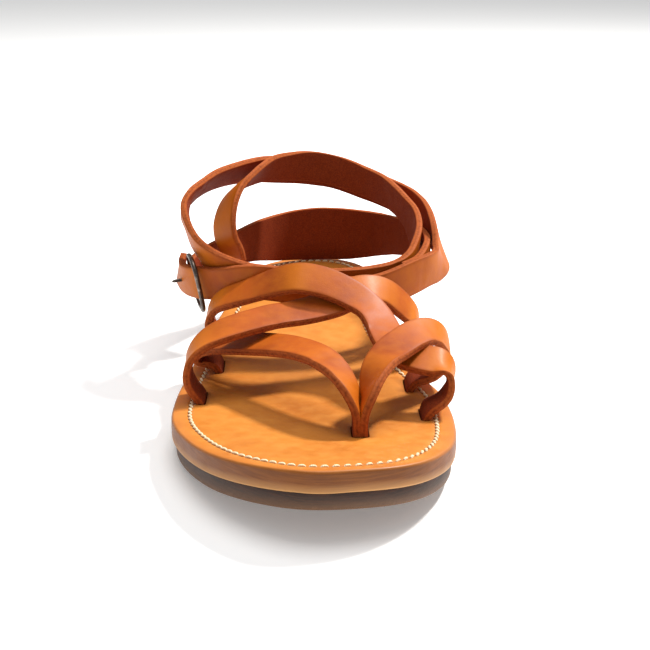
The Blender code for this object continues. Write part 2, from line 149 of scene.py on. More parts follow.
class Fold(NamedTuple):
    """A place on a strip of the weave, above the insole."""

    across: float
    along: float
    rise: float
    turn: float
    lift: float


class Turn(NamedTuple):
    """A place on the ankle strap, above the floor."""

    across: float
    along: float
    height: float
    turn: float
    lift: float


class Band(NamedTuple):
    """A place on the heel band, with its width as a share of the full width."""

    across: float
    along: float
    height: float
    turn: float
    lift: float
    width: float


class Crease(NamedTuple):
    """A crease across a strap: where it lies, how deep, how wide and how slanted it is."""

    at: float
    depth: float
    width: float
    slant: float


TOE_TIP = Edge(0.062, 1.0)
HEEL_TIP = Edge(0.026, 0.0)
MEDIAL_EDGE = (
    Edge(0.545, 0.974),
    Edge(0.832, 0.907),
    Edge(0.966, 0.808),
    Edge(0.958, 0.665),
    Edge(0.742, 0.530),
    Edge(0.555, 0.360),
    Edge(0.641, 0.173),
    Edge(0.434, 0.040),
)
LATERAL_EDGE = (
    Edge(-0.290, 0.970),
    Edge(-0.635, 0.895),
    Edge(-0.892, 0.781),
    Edge(-0.944, 0.679),
    Edge(-0.882, 0.534),
    Edge(-0.760, 0.353),
    Edge(-0.600, 0.174),
    Edge(-0.411, 0.045),
)

# Each strip of the weave: the slot it starts from, its folds and the slot it ends in
WEAVE = {
    "lateral_toe_strip": (
        Slot(0.322, 0.811, 90),
        (
            Fold(0.320, 0.810, 0.168, 90, 4),
            Fold(0.288, 0.801, 0.307, 80, 18),
            Fold(0.245, 0.786, 0.408, 70, 38),
            Fold(0.172, 0.758, 0.490, 68, 64),
            Fold(0.077, 0.728, 0.542, 40, 77),
            Fold(-0.054, 0.696, 0.544, 0, 80),
            Fold(-0.204, 0.665, 0.514, -40, 78),
            Fold(-0.366, 0.637, 0.467, -60, 75),
            Fold(-0.538, 0.609, 0.414, -65, 72),
            Fold(-0.710, 0.581, 0.361, -75, 58),
            Fold(-0.839, 0.558, 0.274, -88, 25),
            Fold(-0.865, 0.548, 0.160, -92, -12),
            Fold(-0.815, 0.546, 0.113, -92, -48),
            Fold(-0.737, 0.544, 0.083, -92, -40),
        ),
        Slot(-0.699, 0.544, -90),
    ),
    "medial_toe_strip": (
        Slot(0.370, 0.811, -90),
        (
            Fold(0.372, 0.810, 0.167, -90, 4),
            Fold(0.413, 0.800, 0.316, -84, 20),
            Fold(0.452, 0.776, 0.439, -80, 45),
            Fold(0.499, 0.750, 0.527, -60, 66),
            Fold(0.589, 0.718, 0.583, -10, 72),
            Fold(0.699, 0.688, 0.618, 10, 72),
            Fold(0.817, 0.661, 0.631, 35, 68),
            Fold(0.931, 0.641, 0.578, 65, 48),
            Fold(1.009, 0.629, 0.458, 84, 15),
            Fold(1.017, 0.623, 0.306, 90, -8),
            Fold(0.958, 0.621, 0.170, 92, -38),
            Fold(0.873, 0.621, 0.112, 92, -56),
            Fold(0.786, 0.621, 0.083, 92, -42),
        ),
        Slot(0.748, 0.621, 90),
    ),
    "lateral_cross_strip": (
        Slot(-0.785, 0.669, -90),
        (
            Fold(-0.839, 0.669, 0.097, -90, -18),
            Fold(-0.882, 0.669, 0.222, -90, -2),
            Fold(-0.869, 0.665, 0.364, -88, 20),
            Fold(-0.796, 0.655, 0.492, -75, 48),
            Fold(-0.667, 0.641, 0.581, -45, 66),
            Fold(-0.495, 0.625, 0.633, -15, 72),
            Fold(-0.280, 0.603, 0.663, 0, 72),
            Fold(-0.065, 0.583, 0.667, 8, 70),
            Fold(0.172, 0.565, 0.708, 12, 66),
            Fold(0.387, 0.546, 0.806, 20, 59),
            Fold(0.581, 0.530, 0.757, 32, 54),
            Fold(0.731, 0.520, 0.585, 50, 45),
            Fold(0.826, 0.514, 0.439, 78, 18),
            Fold(0.830, 0.512, 0.286, 92, -10),
            Fold(0.758, 0.512, 0.152, 95, -40),
            Fold(0.674, 0.512, 0.106, 95, -56),
            Fold(0.597, 0.512, 0.083, 95, -42),
        ),
        Slot(0.559, 0.512, 90),
    ),
    "medial_cross_strip": (
        Slot(0.817, 0.738, 90),
        (
            Fold(0.851, 0.738, 0.083, 92, -36),
            Fold(0.915, 0.735, 0.122, 92, -42),
            Fold(0.974, 0.729, 0.197, 92, -18),
            Fold(1.002, 0.720, 0.338, 85, 12),
            Fold(0.942, 0.713, 0.440, 50, 45),
            Fold(0.828, 0.708, 0.466, 15, 62),
            Fold(0.714, 0.697, 0.483, 5, 64),
            Fold(0.630, 0.673, 0.513, 10, 64),
            Fold(0.576, 0.645, 0.553, 25, 62),
            Fold(0.542, 0.615, 0.608, 35, 60),
            Fold(0.477, 0.589, 0.695, 35, 58),
            Fold(0.370, 0.571, 0.776, 22, 56),
            Fold(0.237, 0.560, 0.852, 12, 54),
            Fold(0.086, 0.554, 0.917, 2, 52),
            Fold(-0.086, 0.548, 0.938, -10, 52),
            Fold(-0.238, 0.536, 0.879, -30, 52),
            Fold(-0.393, 0.522, 0.782, -40, 56),
            Fold(-0.556, 0.508, 0.679, -50, 60),
            Fold(-0.712, 0.488, 0.560, -68, 52),
            Fold(-0.792, 0.472, 0.394, -84, 22),
            Fold(-0.800, 0.458, 0.236, -90, -5),
            Fold(-0.768, 0.453, 0.142, -92, -34),
            Fold(-0.723, 0.452, 0.083, -92, -38),
        ),
        Slot(-0.688, 0.452, -90),
    ),
}

# The long strap: up behind the ankle, round the front, round the back again and into the buckle
ANKLE_WINDING = (
    Turn(-0.675, 0.254, 0.507, -42, -8),
    Turn(-0.688, 0.258, 0.562, -43, -6),
    Turn(-0.728, 0.261, 0.620, -47, 4),
    Turn(-0.745, 0.258, 0.704, -54, 18),
    Turn(-0.728, 0.246, 0.783, -64, 30),
    Turn(-0.693, 0.230, 0.842, -77, 40),
    Turn(-0.644, 0.212, 0.883, -91, 46),
    Turn(-0.582, 0.192, 0.910, -103, 48),
    Turn(-0.500, 0.165, 0.932, -114, 43),
    Turn(-0.372, 0.127, 0.948, -126, 33),
    Turn(-0.200, 0.093, 0.941, -143, 22),
    Turn(0.005, 0.072, 0.927, -165, 4),
    Turn(0.244, 0.069, 0.896, 169, -3),
    Turn(0.509, 0.091, 0.845, 142, 5),
    Turn(0.675, 0.129, 0.818, 121, 5),
    Turn(0.781, 0.176, 0.790, 112, 8),
    Turn(0.856, 0.216, 0.755, 104, 5),
    Turn(0.907, 0.263, 0.716, 96, -7),
    Turn(0.916, 0.312, 0.670, 89, -10),
    Turn(0.881, 0.362, 0.627, 80, -6),
    Turn(0.808, 0.405, 0.583, 63, -7),
    Turn(0.658, 0.435, 0.556, 37, -11),
    Turn(0.405, 0.461, 0.550, 20, -11),
    Turn(0.118, 0.474, 0.552, 9, -10),
    Turn(-0.073, 0.475, 0.556, -3, -10),
    Turn(-0.311, 0.469, 0.567, -12, -11),
    Turn(-0.502, 0.457, 0.576, -22, -13),
    Turn(-0.703, 0.441, 0.614, -32, -17),
    Turn(-0.860, 0.424, 0.685, -54, -27),
    Turn(-0.966, 0.391, 0.753, -71, -19),
    Turn(-1.027, 0.354, 0.823, -83, -9),
    Turn(-1.035, 0.318, 0.874, -92, 18),
    Turn(-0.992, 0.282, 0.906, -100, 35),
    Turn(-0.881, 0.230, 0.937, -111, 41),
    Turn(-0.729, 0.180, 0.946, -122, 42),
    Turn(-0.525, 0.126, 0.940, -133, 35),
    Turn(-0.308, 0.086, 0.917, -146, 24),
    Turn(-0.065, 0.061, 0.899, -163, 9),
    Turn(0.246, 0.052, 0.864, 174, -2),
    Turn(0.516, 0.073, 0.814, 149, -3),
    Turn(0.702, 0.101, 0.785, 132, -5),
    Turn(0.894, 0.140, 0.748, 122, -7),
    Turn(0.986, 0.187, 0.722, 111, -9),
    Turn(1.032, 0.235, 0.700, 103, -6),
    Turn(1.063, 0.284, 0.681, 98, 3),
    Turn(1.096, 0.326, 0.648, 92, 16),
    Turn(1.108, 0.360, 0.609, 79, 23),
    Turn(1.063, 0.390, 0.587, 67, 5),
    Turn(0.976, 0.418, 0.584, 51, -4),
    Turn(0.842, 0.444, 0.569, 41, 1),
    Turn(0.701, 0.463, 0.545, 33, 0),
    Turn(0.541, 0.478, 0.523, 23, -2),
    Turn(0.339, 0.490, 0.522, 10, -2),
    Turn(0.086, 0.494, 0.545, 1, 0),
    Turn(-0.211, 0.490, 0.574, -7, 1),
    Turn(-0.453, 0.478, 0.578, -16, -4),
    Turn(-0.620, 0.461, 0.555, -26, -13),
    Turn(-0.769, 0.443, 0.534, -33, -15),
    Turn(-0.898, 0.430, 0.527, -48, -13),
    Turn(-1.001, 0.404, 0.515, -63, -13),
    Turn(-1.058, 0.376, 0.517, -76, -3),
    Turn(-1.081, 0.348, 0.530, -85, 10),
)

HEEL_BAND = (
    Band(0.763, 0.437, 0.559, 55, -4, 0.50),
    Band(0.888, 0.412, 0.574, 62, -4, 0.50),
    Band(0.967, 0.371, 0.599, 80, -2, 0.51),
    Band(0.998, 0.323, 0.604, 88, -2, 0.53),
    Band(0.970, 0.258, 0.590, 97, -4, 0.56),
    Band(0.891, 0.195, 0.565, 106, -5, 0.61),
    Band(0.767, 0.127, 0.528, 122, -2, 0.71),
    Band(0.594, 0.061, 0.481, 142, 0, 0.85),
    Band(0.375, 0.023, 0.449, 163, 0, 0.97),
    Band(0.129, 0.010, 0.441, 178, 0, 1.00),
    Band(-0.108, 0.018, 0.440, -166, 0, 0.97),
    Band(-0.323, 0.047, 0.446, -145, 0, 0.88),
    Band(-0.486, 0.093, 0.466, -125, -2, 0.75),
    Band(-0.620, 0.149, 0.484, -114, -3, 0.63),
    Band(-0.774, 0.206, 0.490, -112, -4, 0.55),
    Band(-0.904, 0.258, 0.488, -108, -4, 0.52),
    Band(-0.973, 0.308, 0.486, -103, -4, 0.52),
    Band(-0.993, 0.349, 0.490, -97, -4, 0.52),
)

INSTEP_CREASES = {
    "lateral_toe_strip": (
        Crease(0.17, 0.16 * MM, 1.3 * MM, 0.25),
        Crease(0.30, 0.20 * MM, 1.6 * MM, -0.35),
        Crease(0.83, 0.18 * MM, 1.2 * MM, 0.15),
    ),
    "medial_toe_strip": (
        Crease(0.20, 0.18 * MM, 1.4 * MM, -0.25),
        Crease(0.62, 0.14 * MM, 1.8 * MM, 0.30),
        Crease(0.82, 0.18 * MM, 1.2 * MM, -0.20),
    ),
    "lateral_cross_strip": (
        Crease(0.13, 0.16 * MM, 1.2 * MM, 0.20),
        Crease(0.36, 0.12 * MM, 2.0 * MM, -0.30),
        Crease(0.78, 0.20 * MM, 1.4 * MM, 0.25),
    ),
    "medial_cross_strip": (
        Crease(0.12, 0.16 * MM, 1.2 * MM, -0.20),
        Crease(0.33, 0.20 * MM, 1.6 * MM, 0.35),
        Crease(0.72, 0.14 * MM, 1.8 * MM, -0.25),
        Crease(0.88, 0.18 * MM, 1.2 * MM, 0.15),
    ),
}
ANKLE_CREASES = (
    Crease(0.06, 0.16 * MM, 1.4 * MM, 0.2),
    Crease(0.31, 0.18 * MM, 1.6 * MM, -0.3),
    Crease(0.36, 0.12 * MM, 1.3 * MM, 0.2),
    Crease(0.51, 0.18 * MM, 1.6 * MM, 0.3),
    Crease(0.79, 0.20 * MM, 1.6 * MM, -0.25),
    Crease(0.82, 0.14 * MM, 1.2 * MM, 0.2),
    Crease(0.96, 0.16 * MM, 1.4 * MM, 0.15),
)
BAND_CREASES = (
    Crease(0.10, 0.15 * MM, 1.8 * MM, 0.2),
    Crease(0.38, 0.15 * MM, 2.4 * MM, -0.3),
    Crease(0.61, 0.15 * MM, 2.4 * MM, 0.3),
    Crease(0.88, 0.15 * MM, 1.8 * MM, -0.2),
)


def ease(share: float) -> float:
    """A smooth step from 0 to 1."""
    share = min(max(share, 0.0), 1.0)
    return share * share * (3 - 2 * share)


def place(across: float, along: float) -> tuple[float, float]:
    """World x and y of a place on the shoe's plan."""
    return across * BALL_WIDTH / 2, HEEL_SEAT - along * LENGTH


def along_of(y: float) -> float:
    """The share of the length at a world y."""
    return (HEEL_SEAT - y) / LENGTH


def face_direction(turn: float, lift: float) -> Vector:
    """The direction that a face of a strap looks in."""
    level = cos(radians(lift))
    return Vector((level * sin(radians(turn)), -level * cos(radians(turn)), sin(radians(lift))))


def blend(a: Vector, b: Vector, c: Vector, d: Vector, t: float) -> Vector:
    """The value at share t between b and c, on a smooth run through all four."""
    square = (2 * a - 5 * b + 4 * c - d) * t**2
    cube = (3 * b - 3 * c + d - a) * t**3
    return 0.5 * (2 * b + (c - a) * t + square + cube)


class Value:
    """A number socket of a shader. Sums and products of it add the Math nodes that they need."""

    def __init__(self, graph: "Graph", socket: bpy.types.NodeSocket) -> None:
        """Keeps the socket and the graph that it belongs to."""
        self.graph = graph
        self.socket = socket

    def math(self, operation: str, *others: "Value | float", first: bool = True) -> "Value":
        """A Math node on this value.

        Args:
            operation: The node's operation.
            others: The other operands.
            first: Whether this value is the first operand.

        Returns:
            The result as a value.
        """
        operands = [self, *others] if first else [*others, self]
        inputs = dict(enumerate(operands))
        node = self.graph.node("ShaderNodeMath", {"operation": operation}, inputs)
        return Value(self.graph, node.outputs[0])

    def __add__(self, other: "Value | float") -> "Value":
        """This value plus the other."""
        return self.math("ADD", other)

    __radd__ = __add__

    def __sub__(self, other: "Value | float") -> "Value":
        """This value less the other."""
        return self.math("SUBTRACT", other)

    def __rsub__(self, other: float) -> "Value":
        """The other less this value."""
        return self.math("SUBTRACT", other, first=False)

    def __mul__(self, other: "Value | float") -> "Value":
        """This value times the other."""
        return self.math("MULTIPLY", other)

    __rmul__ = __mul__

    def step(self, low: float, high: float) -> "Value":
        """A smooth step of this value between two limits, falling where the first is greater."""
        settings = {"interpolation_type": "SMOOTHSTEP"}
        if low <= high:
            node = self.graph.node("ShaderNodeMapRange", settings, {0: self, 1: low, 2: high})
            return Value(self.graph, node.outputs[0])
        node = self.graph.node("ShaderNodeMapRange", settings, {0: self, 1: high, 2: low})
        return 1 - Value(self.graph, node.outputs[0])


Colour = tuple[float, float, float]
Point = tuple[float, float, float]
Paint = "bpy.types.NodeSocket | Colour"


def shade(red: int, green: int, blue: int) -> Colour:
    """A colour of 0 to 255 as the light that the shader reads."""
    shares = [c / 255 for c in (red, green, blue)]
    return tuple(c / 12.92 if c <= 10 / 255 else ((c + 0.055) / 1.055) ** 2.4 for c in shares)


class Graph:
    """The node tree of one material."""

    def __init__(self, name: str) -> None:
        """Makes the material with its shader."""
        self.material = bpy.data.materials.new(name)
        self.material.use_nodes = True
        self.tree = self.material.node_tree
        self.shader = self.tree.nodes["Principled BSDF"]
        self.place = self.node("ShaderNodeTexCoord").outputs["Object"]

    def node(
        self, kind: str, settings: dict | None = None, inputs: dict | None = None
    ) -> bpy.types.Node:
        """Adds a node.

        Args:
            kind: The node's type.
            settings: Its options, set first.
            inputs: A value or a link for each of its sockets, by name or number.

        Returns:
            The node.
        """
        made = self.tree.nodes.new(kind)
        for name, setting in (settings or {}).items():
            setattr(made, name, setting)
        for name, value in (inputs or {}).items():
            self.feed(made.inputs[name], value)
        return made

    def feed(self, socket: bpy.types.NodeSocket, value: object) -> None:
        """Links a value or a socket to a socket, or sets its own value."""
        if isinstance(value, Value):
            value = value.socket
        if isinstance(value, bpy.types.NodeSocket):
            self.tree.links.new(value, socket)
        elif socket.type == "RGBA":
            socket.default_value = (*value, 1)
        else:
            socket.default_value = value

    def set(self, **inputs: object) -> None:
        """Feeds the shader's own sockets, whose names have an underscore for each space."""
        for name, value in inputs.items():
            label = name.replace("_", " ").title().replace("Ior", "IOR")
            self.feed(self.shader.inputs[label], value)

    def attribute(self, name: str) -> Value:
        """A number that the mesh carries at each of its points."""
        node = self.node("ShaderNodeAttribute", {"attribute_name": name})
        return Value(self, node.outputs["Fac"])

    def stretched(self, scale: Sequence[float]) -> bpy.types.NodeSocket:
        """The place on the object, scaled along each axis."""
        inputs = {0: self.place, 1: scale}
        return self.node("ShaderNodeVectorMath", {"operation": "MULTIPLY"}, inputs).outputs[0]

    def noise(
        self, size: float, detail: float = 2, rough: float = 0.5, where: object = None
    ) -> Value:
        """Soft noise.

        Args:
            size: The width of its spots in metres.
            detail: How many finer layers it has.
            rough: How strong they are.
            where: The coordinates that it lies in, the object's own if left out.

        Returns:
            The noise, about 0.5.
        """
        inputs = {"Vector": where or self.place, "Scale": 1 / size}
        inputs |= {"Detail": detail, "Roughness": rough}
        return Value(self, self.node("ShaderNodeTexNoise", None, inputs).outputs[0])

    def cells(self, size: float) -> Value:
        """The distance to the nearest of many scattered points.

        Args:
            size: Their spacing in metres.

        Returns:
            The distance in shares of the spacing.
        """
        inputs = {"Vector": self.place, "Scale": 1 / size}
        return Value(self, self.node("ShaderNodeTexVoronoi", None, inputs).outputs["Distance"])

    def mix(self, share: "Value | float", first: Paint, second: Paint) -> bpy.types.NodeSocket:
        """Mixes two colours.

        Args:
            share: The share of the second one.
            first: The first colour.
            second: The second colour.

        Returns:
            The colour's socket.
        """
        inputs = {0: share, 6: first, 7: second}
        return self.node("ShaderNodeMix", {"data_type": "RGBA"}, inputs).outputs[2]

    def bump(
        self, height: Value, depth: float, under: object = None, strength: float = 1
    ) -> bpy.types.NodeSocket:
        """Relief from a height.

        Args:
            height: The height, 0 to 1.
            depth: What 1 is in metres.
            under: The normal that it adds to.
            strength: How much of it shows.

        Returns:
            The normal's socket.
        """
        inputs = {"Height": height, "Distance": depth, "Strength": strength}
        if under is not None:
            inputs["Normal"] = under
        return self.node("ShaderNodeBump", None, inputs).outputs[0]


@dataclass(frozen=True)
class StrapLeather:
    """Smooth orange leather with raw cut edges and a dark inner side."""

    name: str = "strap_leather"
    body: Colour = shade(174, 80, 8)
    deep: Colour = shade(128, 48, 4)
    bright: Colour = shade(206, 116, 14)
    flesh: Colour = shade(108, 36, 8)
    flesh_light: Colour = shade(136, 54, 14)
    cut: Colour = shade(172, 88, 40)
    cut_dark: Colour = shade(96, 40, 14)

    def material(self) -> bpy.types.Material:
        """Builds the leather."""
        graph = Graph(self.name)
        blotch = graph.noise(22 * MM, 3, 0.55).step(0.25, 0.6)
        cloud = graph.noise(5 * MM, 4, 0.6).step(0.3, 0.75)
        face = graph.mix(blotch * 0.55 + 0.35, self.deep, self.body)
        face = graph.mix(cloud * 0.25, face, self.bright)
        face = graph.mix(graph.attribute("pull") * 0.55, face, self.bright)
        rim = graph.attribute("across").math("ABSOLUTE").step(0.84, 1.0)
        face = graph.mix(rim * 0.3, face, self.deep)
        lines = graph.noise(0.5 * MM, 3, 0.7)
        flesh = graph.mix(lines.step(0.35, 0.7), self.flesh, self.flesh_light)
        inner = graph.attribute("inner")
        face = graph.mix(inner, face, flesh)
        edge = graph.attribute("edge").step(0.35, 0.8)
        layers = graph.attribute("layer").math("ABSOLUTE").step(0.22, 0.02)
        fibres = graph.noise(1.1 * MM, 3, 0.6).step(0.35, 0.75)
        raw = graph.mix(fibres * 0.6 + layers * 0.3, self.cut, self.cut_dark)
        colour = graph.mix(edge * 0.85, face, raw)
        grain = graph.cells(0.55 * MM)
        pores = graph.noise(0.22 * MM, 2, 0.6)
        crumple = graph.noise(2.4 * MM, 4, 0.62)
        relief = graph.bump(grain * 0.6 + pores * 0.4, 0.05 * MM, strength=0.5)
        relief = graph.bump(crumple, 0.16 * MM, relief, 0.5)
        rough = 0.46 + cloud * 0.1 + inner * 0.25 + edge * 0.2 + grain * 0.08
        graph.set(base_color=colour, roughness=rough, normal=relief)
        graph.set(coat_weight=(1 - inner) * (1 - edge) * 0.06, coat_roughness=0.3)
        graph.set(specular_ior_level=0.16)
        return graph.material


@dataclass(frozen=True)
class InsoleLeather:
    """Smooth tan leather, with painted shade on the wall and a painted highlight at its foot."""

    name: str = "insole_leather"
    body: Colour = shade(208, 130, 44)
    deep: Colour = shade(186, 106, 30)
    bright: Colour = shade(222, 148, 62)
    # Painted shade: the wall's two tones are the tan leather darkened.
    wall: Colour = shade(136, 78, 26)
    wall_dark: Colour = shade(112, 60, 18)
    foot_highlight: Colour = shade(216, 160, 98)

    def material(self) -> bpy.types.Material:
        """Builds the leather."""
        graph = Graph(self.name)
        blotch = graph.noise(26 * MM, 3, 0.5).step(0.3, 0.7)
        cloud = graph.noise(5 * MM, 4, 0.6).step(0.3, 0.75)
        top = graph.mix(blotch * 0.7, self.deep, self.body)
        top = graph.mix(cloud * 0.4, top, self.bright)
        inset = graph.attribute("inset")
        rim = inset.step(4.5 * MM, 0.6 * MM)
        top = graph.mix(rim * 0.45, top, self.deep)
        outer_bank = inset.step(STITCH_INSET - GROOVE_REACH, STITCH_INSET)
        inner_bank = inset.step(STITCH_INSET + GROOVE_REACH, STITCH_INSET)
        groove = outer_bank * inner_bank
        top = graph.mix(groove * 0.4, top, self.wall)
        # Painted shade: the top darkens round each slot, where a strap goes in.
        top = graph.mix(graph.attribute("slot") * 0.7, top, self.wall_dark)
        # Painted shade on the wall: its streaked tones are darker than the top's, and the streaks
        # vary at random.
        streaks = graph.noise(1.4 * MM, 4, 0.65, graph.stretched((0.12, 0.12, 2.4)))
        wall = graph.mix(streaks.step(0.3, 0.72), self.wall_dark, self.wall)
        # Painted highlight: the wall lightens towards its foot, along the lower edge of the insole.
        wall = graph.mix(graph.attribute("foot") * 0.8, wall, self.foot_highlight)
        side = graph.attribute("wall")
        colour = graph.mix(side, top, wall)
        grain = graph.cells(0.6 * MM)
        pores = graph.noise(0.25 * MM, 2, 0.6)
        soft = graph.noise(9 * MM, 3, 0.5)
        relief = graph.bump(grain * 0.5 + pores * 0.5, 0.05 * MM, strength=0.45)
        relief = graph.bump(soft, 0.5 * MM, relief, 0.35)
        relief = graph.bump(streaks * side, 0.12 * MM, relief, 0.5)
        rough = 0.4 + cloud * 0.1 + side * 0.08 + grain * 0.06
        graph.set(base_color=colour, roughness=rough, normal=relief)
        graph.set(coat_weight=0.06, coat_roughness=0.3)
        graph.set(specular_ior_level=0.3)
        return graph.material


@dataclass(frozen=True)
class SoleLeather:
    """Dark brown layer, painted lighter towards its foot, with scuff wear there."""

    name: str = "sole_leather"
    body: Colour = shade(66, 34, 14)
    deep: Colour = shade(38, 18, 7)
    # Painted light: the lighter tone that the layer's foot is painted towards.
    paler: Colour = shade(140, 100, 66)

    def material(self) -> bpy.types.Material:
        """Builds the layer's finish."""
        graph = Graph(self.name)
        streaks = graph.noise(1.2 * MM, 4, 0.65, graph.stretched((0.15, 0.15, 2.6)))
        colour = graph.mix(streaks.step(0.3, 0.7), self.deep, self.body)
        scuffs = graph.noise(3 * MM, 5, 0.7).step(0.58, 0.72)
        foot = graph.attribute("foot")
        # Painted light and shade: the layer stays dark at the top, as shade under the insole's
        # overhang, and lightens towards its foot; the scuff spots there are wear.
        colour = graph.mix(foot * 0.55 + foot * scuffs * 0.3, colour, self.paler)
        grain = graph.noise(0.5 * MM, 3, 0.6)
        relief = graph.bump(grain, 0.08 * MM, strength=0.5)
        relief = graph.bump(streaks, 0.16 * MM, relief, 0.6)
        graph.set(base_color=colour, roughness=0.5 + grain * 0.2, normal=relief)
        return graph.material


@dataclass(frozen=True)
class DarkSteel:
    """Dark metal, rubbed lighter in places."""

    name: str = "dark_steel"
    body: Colour = shade(92, 84, 78)
    rubbed: Colour = shade(176, 168, 158)

    def material(self) -> bpy.types.Material:
        """Builds the metal."""
        graph = Graph(self.name)
        paler = graph.noise(2.5 * MM, 4, 0.6).step(0.48, 0.72)
        fine = graph.noise(0.35 * MM, 3, 0.6)
        colour = graph.mix(paler * 0.7, self.body, self.rubbed)
        relief = graph.bump(fine, 0.03 * MM)
        graph.set(base_color=colour, metallic=1.0, roughness=0.24 + fine * 0.22, normal=relief)
        return graph.material


@dataclass(frozen=True)
class Thread:
    """Pale waxed thread, twisted."""

    name: str = "thread"
    body: Colour = shade(252, 238, 208)
    shadow: Colour = shade(228, 198, 150)

    def material(self) -> bpy.types.Material:
        """Builds the thread."""
        graph = Graph(self.name)
        strands = (graph.attribute("twist") * 2 * pi).math("SINE") * 0.5 + 0.5
        fuzz = graph.noise(0.3 * MM, 3, 0.6)
        colour = graph.mix(strands * 0.45 + fuzz * 0.5, self.shadow, self.body)
        relief = graph.bump(strands, 0.1 * MM)
        graph.set(base_color=colour, roughness=0.6 + fuzz * 0.15, normal=relief)
        return graph.material


@dataclass(frozen=True)
class PaleFloor:
    """Plain matte floor."""

    name: str = "pale_floor"
    body: Colour = (0.93, 0.93, 0.93)

    def material(self) -> bpy.types.Material:
        """Builds the floor's finish."""
        graph = Graph(self.name)
        tint = graph.noise(0.6, 2, 0.5)
        graph.set(base_color=graph.mix(tint * 0.03, self.body, (0.9, 0.9, 0.9)), roughness=0.9)
        graph.set(emission_color=(1, 1, 1), emission_strength=0.2)
        graph.set(specular_ior_level=0.1)
        return graph.material


@dataclass
class Skin:
    """Points and faces of a piece while it is built, with the numbers that its finish reads."""

    name: str
    points: list[Vector] = field(default_factory=list)
    faces: list[tuple[int, ...]] = field(default_factory=list)
    marks: dict[str, list[float]] = field(default_factory=dict)

    def add(self, point: Vector, **marks: float) -> int:
        """Adds a point with its marks and gives its number."""
        for name, value in marks.items():
            self.marks.setdefault(name, []).append(value)
        self.points.append(point)
        return len(self.points) - 1

    def loft(self, rings: int, ring: int, closed: bool = False) -> None:
        """Joins rings of points that were added one after the other.

        Args:
            rings: How many there are.
            ring: How many points each has.
            closed: Whether the last one joins the first.
        """
        start = len(self.points) - rings * ring
        for i in range(rings if closed else rings - 1):
            a, b = start + i * ring, start + (i + 1) % rings * ring
            for k in range(ring):
                m = (k + 1) % ring
                self.faces.append((a + k, a + m, b + m, b + k))
        if not closed:
            self.faces.append(tuple(start + k for k in range(ring)))
            self.faces.append(tuple(len(self.points) - ring + k for k in range(ring)))

    def finish(self, sharp: float = 180) -> bpy.types.Object:
        """Makes the mesh object.

        Args:
            sharp: The angle in degrees from which an edge is drawn sharp.

        Returns:
            The object, linked to the scene.
        """
        mesh = bpy.data.meshes.new(self.name)
        mesh.from_pydata([tuple(p) for p in self.points], [], self.faces)
        for name, values in self.marks.items():
            mesh.attributes.new(name, "FLOAT", "POINT").data.foreach_set("value", values)
        shaped = bmesh.new()
        shaped.from_mesh(mesh)
        bmesh.ops.recalc_face_normals(shaped, faces=shaped.faces)
        shaped.to_mesh(mesh)
        shaped.free()
        thing = bpy.data.objects.new(self.name, mesh)
        bpy.context.scene.collection.objects.link(thing)
        smooth(mesh, sharp)
        return thing


def smooth(mesh: bpy.types.Mesh, sharp: float) -> None:
    """Shades a mesh smooth, but for edges sharper than an angle in degrees."""
    mesh.polygons.foreach_set("use_smooth", [True] * len(mesh.polygons))
    if sharp < 180:
        mesh.set_sharp_from_angle(angle=radians(sharp))
    mesh.update()


def fit(piece: bpy.types.Object, node: str | None, finish: bpy.types.Material) -> None:
    """Gives a piece its finish and its place in the model.

    Args:
        piece: The piece.
        node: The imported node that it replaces, if any.
        finish: Its material.
    """
    piece.data.materials.clear()
    piece.data.materials.append(finish)
    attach(piece, BODY)
    if node:
        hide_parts(node)
    log.info("%s: %d faces", piece.name, len(piece.data.polygons))


class Station(NamedTuple):
    """A cross-section of a strap."""

    centre: Vector
    face: Vector
    width: float


